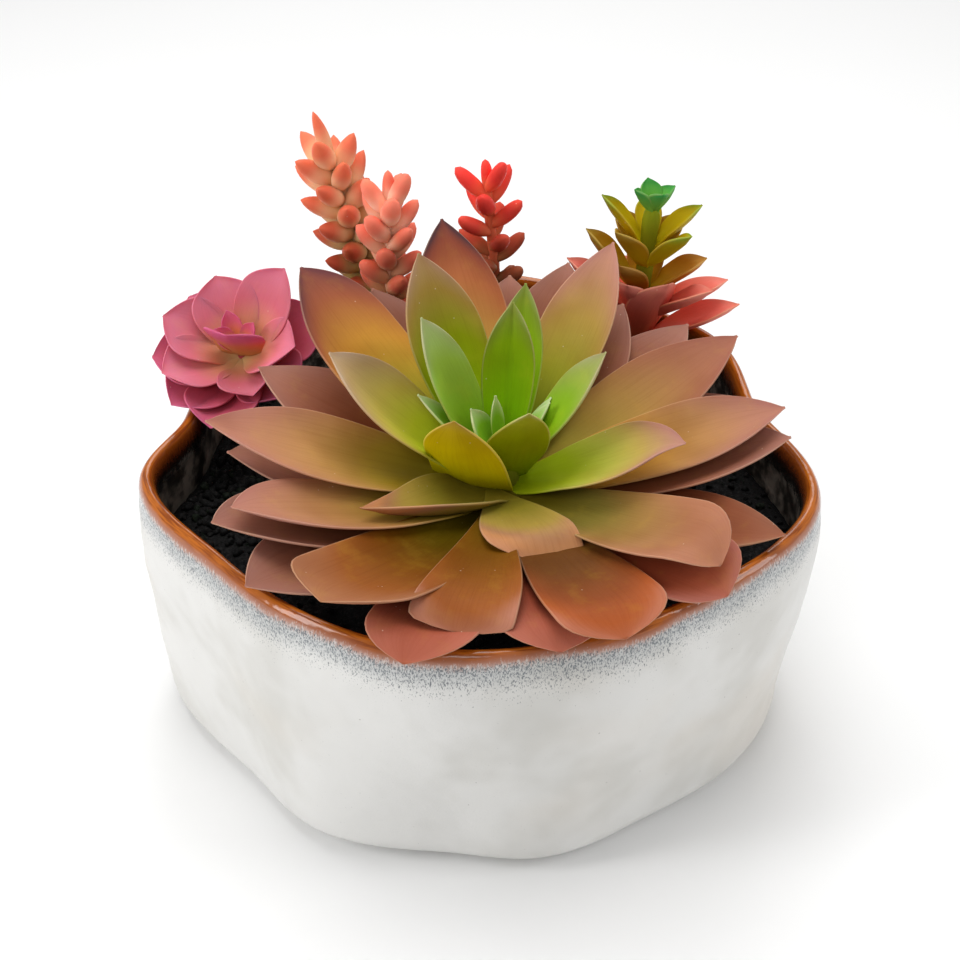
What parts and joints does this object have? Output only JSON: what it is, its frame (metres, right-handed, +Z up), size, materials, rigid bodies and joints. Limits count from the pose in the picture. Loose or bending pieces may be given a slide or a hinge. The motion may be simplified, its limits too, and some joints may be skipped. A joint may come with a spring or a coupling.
{
  "type": "succulent dish garden",
  "caption": "Low pinched stoneware bowl of dark soil, planted with a large spreading rosette, a pink rosette, a stacked-leaf plant and bean-leaved sprigs.",
  "frame": {"origin": "middle of the bowl's flat foot, on the surface it stands on", "axes": "+Z up; -Y is the front, which the picture shows; +X is the viewer's right"},
  "size_m": [0.2069, 0.2175, 0.1675],
  "materials": {
    "stoneware": "satin off-white glaze with a glossy rust-brown lip",
    "soil": "matte dark soil with mossy crumbs",
    "rosette_leaf": "satin, green at the heart, salmon and brown at the tips",
    "pink_leaf": "satin dusty pink",
    "stacked_leaf": "satin, green at the top, red at the foot",
    "coral_bean": "satin peach with coral tips",
    "pink_coral_bean": "satin coral pink",
    "red_bean": "satin red"
  },
  "bodies": {
    "root": {"bowl": "stoneware", "soil": "soil", "large_rosette": "rosette_leaf", "pink_rosette": "pink_leaf", "stacked_leaf_plant": "stacked_leaf", "tall_coral_sprig": "coral_bean", "short_coral_sprig": "pink_coral_bean", "red_sprig": "red_bean"}
  },
  "joints": []
}
